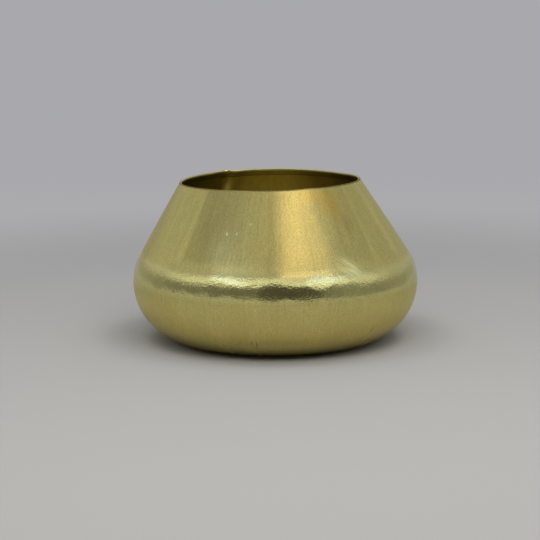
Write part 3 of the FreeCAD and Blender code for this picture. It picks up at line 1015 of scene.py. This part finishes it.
# How bright the room is round the pot, as degrees from straight ahead and a level. The gap is
# what lies between the paper's far edge and the lamps, and the belt is the row of lamps.
GAP = (
    (-180, 0.40), (-120, 0.31), (-95, 0.22), (-60, 0.18), (-42, 0.155), (-13, 0.155), (-8, 0.075),
    (31, 0.075), (36, 0.15), (52, 0.24), (70, 0.26), (88, 0.23), (116, 0.29), (180, 0.40),
)
BELT = (
    (-180, 0.42), (-108, 0.55), (-88, 0.74), (-66, 0.90), (-45, 0.92), (-22, 1.0), (45, 1.0),
    (66, 0.92), (88, 0.70), (108, 0.46), (180, 0.42),
)
PAPER_LEVEL, LAMP_LEVEL, CEILING_LEVEL = 0.43, 0.44, 0.30

# The belt comes down towards the sides, as a straight row of lamps does in perspective, and a
# little more at the right, where it is nearer: radians of height for each radian round
BELT_DROP, BELT_LEAN = 0.205, 0.015

# The paper in front isn't square to the pot, so its far edge stands higher towards the left, and
# past its corners it falls away
EDGE_LEAN, CORNER, CORNER_DROP = 0.06, 1.2, 0.36


def light_room():
    """The room that the metal mirrors: paper, a dark gap in front, a bright belt and a ceiling."""
    finish = bpy.context.scene.cachepot_finish
    world = bpy.data.worlds.new("studio_room")
    bpy.context.scene.world = world
    world.use_nodes = True
    tree = world.node_tree
    tree.nodes.clear()
    way = add(tree, "TexCoord", output="Generated")
    parts = add(tree, "SeparateXYZ", inputs={0: way}).node.outputs
    lift = add(tree, "Math", {"operation": "ARCSINE"}, {0: parts["Z"]})
    turned = from_front(tree, parts)
    aside = add(tree, "Math", {"operation": "ABSOLUTE"}, {0: turned})
    clamped = {"operation": "SUBTRACT", "use_clamp": True}
    past_corner = add(tree, "Math", clamped, {0: aside, 1: CORNER})
    lowered, leaned = lift, lift
    for round_pot, share in ((aside, BELT_DROP), (turned, BELT_LEAN)):
        lowered = add(tree, "Math", TIMES_PLUS, {0: round_pot, 1: share, 2: lowered})
    for round_pot, share in ((turned, EDGE_LEAN), (past_corner, CORNER_DROP)):
        leaned = add(tree, "Math", TIMES_PLUS, {0: round_pot, 1: share, 2: leaned})
    room = grey(PAPER_LEVEL)
    for height, low, high, layer in (
        (leaned, -0.5, 1.5, levels_round(tree, turned, GAP)),
        (lowered, 34.5, 37, levels_round(tree, turned, BELT)),
        (lowered, 44.5, 50, grey(LAMP_LEVEL)),
        (lift, 64, 80, grey(CEILING_LEVEL)),
    ):
        room = above(tree, height, low, high, room, layer)
    seen = add(tree, "LightPath", output="Is Camera Ray")
    shown = add(tree, "Mix", COLOURS, {0: seen, 6: room, 7: finish.paper_far}, 2)
    light = add(tree, "Background", inputs={"Color": shown, "Strength": 1.0})
    add(tree, "OutputWorld", inputs={"Surface": light})


# Half the paper's width, and where along Y its tone starts and ends its change
PAPER_HALF = 20
TONE_NEAR, TONE_FAR = -0.6, 1.5

# How far from the pot the lamps' light on the paper starts and ends to give way to its own tone
LIT_NEAR, LIT_FAR = 0.4, 1.0

# How far the paper shows in the metal, to the front and to the right
MIRRORED = 1.3

# The pot's weight sinks it a little into the soft paper, which keeps the two apart
SUNK = 0.1 * MM


def studio_paper():
    """Matt studio paper: a soft change of tone from front to back, and nothing else on it.

    Close to the pot it is lit and shaded by the lamps. Further off it shows its own tone, as evenly
    lit paper does that goes on past the reach of the lamps. The metal mirrors it only as far as
    MIRRORED in front and at the right, where the dark of the room starts. From below it is clear."""
    finish = bpy.context.scene.cachepot_finish
    material, tree = new_material("studio_paper")
    place = add(tree, "TexCoord", output="Object")
    parts = add(tree, "SeparateXYZ", inputs={0: place}).node.outputs
    ends = {"Value": parts["Y"], "From Min": TONE_NEAR, "From Max": TONE_FAR}
    back = add(tree, "MapRange", SMOOTH, ends)
    tones = {0: back, 6: finish.paper_near, 7: finish.paper_far}
    tone = add(tree, "Mix", COLOURS, tones, 2)
    matt = add(tree, "BsdfDiffuse", inputs={"Color": tone})
    glow = add(tree, "Emission", inputs={"Color": tone, "Strength": 1.0})
    reach = add(tree, "VectorMath", {"operation": "LENGTH"}, {0: place}, "Value")
    ends = {"Value": reach, "From Min": LIT_NEAR, "From Max": LIT_FAR}
    beyond = add(tree, "MapRange", SMOOTH, ends)
    paper = add(tree, "MixShader", inputs={0: beyond, 1: matt, 2: glow})
    past = []
    for way, test, end in (("Y", "LESS_THAN", -MIRRORED), ("X", "GREATER_THAN", MIRRORED)):
        past.append(add(tree, "Math", {"operation": test}, {0: parts[way], 1: end}))
    mirrored = add(tree, "LightPath", output="Is Glossy Ray")
    dark = add(tree, "Math", TIMES, {0: strongest(tree, past), 1: mirrored})
    below = add(tree, "NewGeometry", output="Backfacing")
    clear = add(tree, "BsdfTransparent")
    surface = add(tree, "MixShader", inputs={0: strongest(tree, [dark, below]), 1: paper, 2: clear})
    add(tree, "OutputMaterial", inputs={"Surface": surface})
    return material


# Where the camera aims, from the pot's middle, and the width of its sensor in mm
AIM_ASIDE, AIM_BELOW = -5.2 * MM, 15.85 * MM
SENSOR_WIDTH = 36


def aim_camera(scene, studio):
    """A camera in front of the pot that looks down on it a little."""
    camera = bpy.data.cameras.new("camera")
    camera.lens = studio.lens
    camera.sensor_width = SENSOR_WIDTH
    holder = bpy.data.objects.new("camera", camera)
    scene.collection.objects.link(holder)
    aim = Vector((AIM_ASIDE, 0, POT_MIDDLE - AIM_BELOW))
    back = Vector((0, -math.cos(studio.pitch), math.sin(studio.pitch)))
    holder.location = Vector((0, 0, POT_MIDDLE)) + back * studio.distance
    look = (aim - holder.location).to_track_quat("-Z", "Y").to_matrix().to_4x4()
    turn = Matrix.Rotation(studio.roll, 4, "Z")
    holder.rotation_euler = (look @ turn).to_euler()
    scene.camera = holder


class CACHEPOT_OT_studio(bpy.types.Operator):
    """Sets up the paper floor, the room, the lamps and the camera"""

    bl_idname = "cachepot.studio"
    bl_label = "Studio"

    def execute(self, context):
        scene = context.scene
        mesh = bmesh.new()
        bmesh.ops.create_grid(mesh, x_segments=1, y_segments=1, size=PAPER_HALF)
        data = bpy.data.meshes.new("paper")
        mesh.to_mesh(data)
        mesh.free()
        data.materials.append(studio_paper())
        paper = bpy.data.objects.new("paper", data)
        scene.collection.objects.link(paper)
        paper.location.z = SUNK
        light_room()
        for name, values in LAMPS.items():
            soft_lamp(name, *values)
        aim_camera(scene, scene.cachepot_studio)
        scene.view_settings.view_transform = "Standard"
        return {"FINISHED"}


OPERATORS = (
    CACHEPOT_OT_lower_bowl,
    CACHEPOT_OT_upper_cone,
    CACHEPOT_OT_filler,
    CACHEPOT_OT_studio,
)


class CACHEPOT_PT_panel(bpy.types.Panel):
    """Lists the steps that build the cachepot"""

    bl_label = "Cachepot"
    bl_idname = "CACHEPOT_PT_panel"
    bl_space_type = "VIEW_3D"
    bl_region_type = "UI"
    bl_category = "Cachepot"

    def draw(self, context):
        for operator in OPERATORS:
            self.layout.operator(operator.bl_idname)


GROUPS = {
    "cachepot_sizes": CachepotSizes,
    "cachepot_handwork": CachepotHandwork,
    "cachepot_finish": CachepotFinish,
    "cachepot_studio": CachepotStudio,
}


def register():
    for name, group in GROUPS.items():
        bpy.utils.register_class(group)
        setattr(bpy.types.Scene, name, bpy.props.PointerProperty(type=group))
    for kind in (*OPERATORS, CACHEPOT_PT_panel):
        bpy.utils.register_class(kind)


def unregister():
    for kind in (CACHEPOT_PT_panel, *reversed(OPERATORS)):
        bpy.utils.unregister_class(kind)
    for name, group in GROUPS.items():
        delattr(bpy.types.Scene, name)
        bpy.utils.unregister_class(group)


def main():
    register()
    bpy.ops.cachepot.lower_bowl()
    bpy.ops.cachepot.upper_cone()
    bpy.ops.cachepot.filler()
    bpy.ops.cachepot.studio()


if __name__ == "__main__":
    main()
